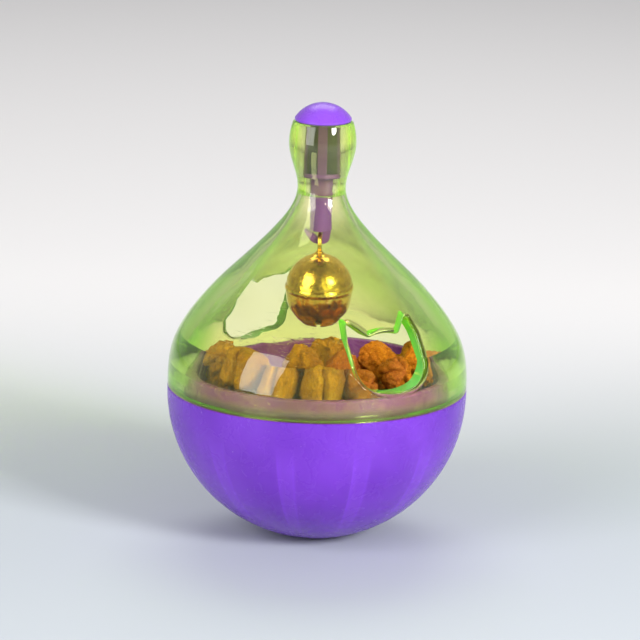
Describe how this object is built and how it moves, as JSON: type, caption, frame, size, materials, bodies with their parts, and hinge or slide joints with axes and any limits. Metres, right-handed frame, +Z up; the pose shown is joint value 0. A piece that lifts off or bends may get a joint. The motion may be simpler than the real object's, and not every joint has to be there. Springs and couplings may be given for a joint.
{
  "type": "treat ball",
  "caption": "Wobbling pet treat feeder: weighted round base, thick clear green dome with cat-head food holes, dry food inside and a bell on a hook.",
  "frame": {"origin": "centre of the small flat foot, on the floor", "axes": "+Z up through the plug; the front faces -Y; the two food holes look 32 degrees to the right of the front and straight opposite"},
  "size_m": [0.08, 0.08, 0.1173],
  "materials": {
    "base_purple": "glossy moulded plastic, purple",
    "bowl_purple": "glossy moulded plastic, purple",
    "weight_steel": "plain cast weight",
    "plate_black": "matt moulded plastic, black",
    "screw_steel": "zinc plated",
    "dome_green": "clear tinted plastic, yellow-green",
    "plug_purple": "glossy moulded plastic, purple",
    "bell_upper": "bright gold-coloured plating on thin sheet",
    "bell_lower": "bright gold-coloured plating on thin sheet",
    "bell_wire": "bright gold-coloured plating on wire",
    "bell_ball": "plain steel",
    "kibble_brown": "rough baked dry food, orange-brown"
  },
  "bodies": {
    "base": {"base_shell": "base_purple", "inner_bowl": "bowl_purple", "counterweight": "weight_steel", "clamp_plate": "plate_black", "plate_screws": "screw_steel", "kibble_01": "kibble_brown", "kibble_02": "kibble_brown", "kibble_03": "kibble_brown", "kibble_04": "kibble_brown", "kibble_05": "kibble_brown", "kibble_06": "kibble_brown", "kibble_07": "kibble_brown", "kibble_08": "kibble_brown", "kibble_09": "kibble_brown", "kibble_10": "kibble_brown", "kibble_11": "kibble_brown", "kibble_12": "kibble_brown", "kibble_13": "kibble_brown", "kibble_14": "kibble_brown", "kibble_15": "kibble_brown", "kibble_16": "kibble_brown", "kibble_17": "kibble_brown", "kibble_18": "kibble_brown", "kibble_19": "kibble_brown", "kibble_20": "kibble_brown", "kibble_21": "kibble_brown", "kibble_22": "kibble_brown", "kibble_23": "kibble_brown", "kibble_24": "kibble_brown", "kibble_25": "kibble_brown", "kibble_26": "kibble_brown", "kibble_27": "kibble_brown", "kibble_28": "kibble_brown", "kibble_29": "kibble_brown", "kibble_30": "kibble_brown", "kibble_31": "kibble_brown", "kibble_32": "kibble_brown", "kibble_33": "kibble_brown", "kibble_34": "kibble_brown", "kibble_35": "kibble_brown", "kibble_36": "kibble_brown", "kibble_37": "kibble_brown", "kibble_38": "kibble_brown", "kibble_39": "kibble_brown", "kibble_40": "kibble_brown", "kibble_41": "kibble_brown", "kibble_42": "kibble_brown", "kibble_43": "kibble_brown", "kibble_44": "kibble_brown", "kibble_45": "kibble_brown", "kibble_46": "kibble_brown", "kibble_47": "kibble_brown", "kibble_48": "kibble_brown"},
    "dome": {"dome_shell": "dome_green", "hanger_plug": "plug_purple"},
    "bell": {"bell_upper_shell": "bell_upper", "bell_lower_shell": "bell_lower", "bell_eye": "bell_wire", "bell_pellet": "bell_ball"}
  },
  "joints": [
    {"name": "dome_lift", "type": "slide", "parent": "base", "child": "dome", "axis": [0, 0, 1], "range_m": [0, 0.05]},
    {"name": "bell_swing", "type": "hinge", "parent": "dome", "child": "bell", "pos_m": [0, 0, 0.07893], "axis": [1, 0, 0], "range_deg": [-35, 35]}
  ]
}
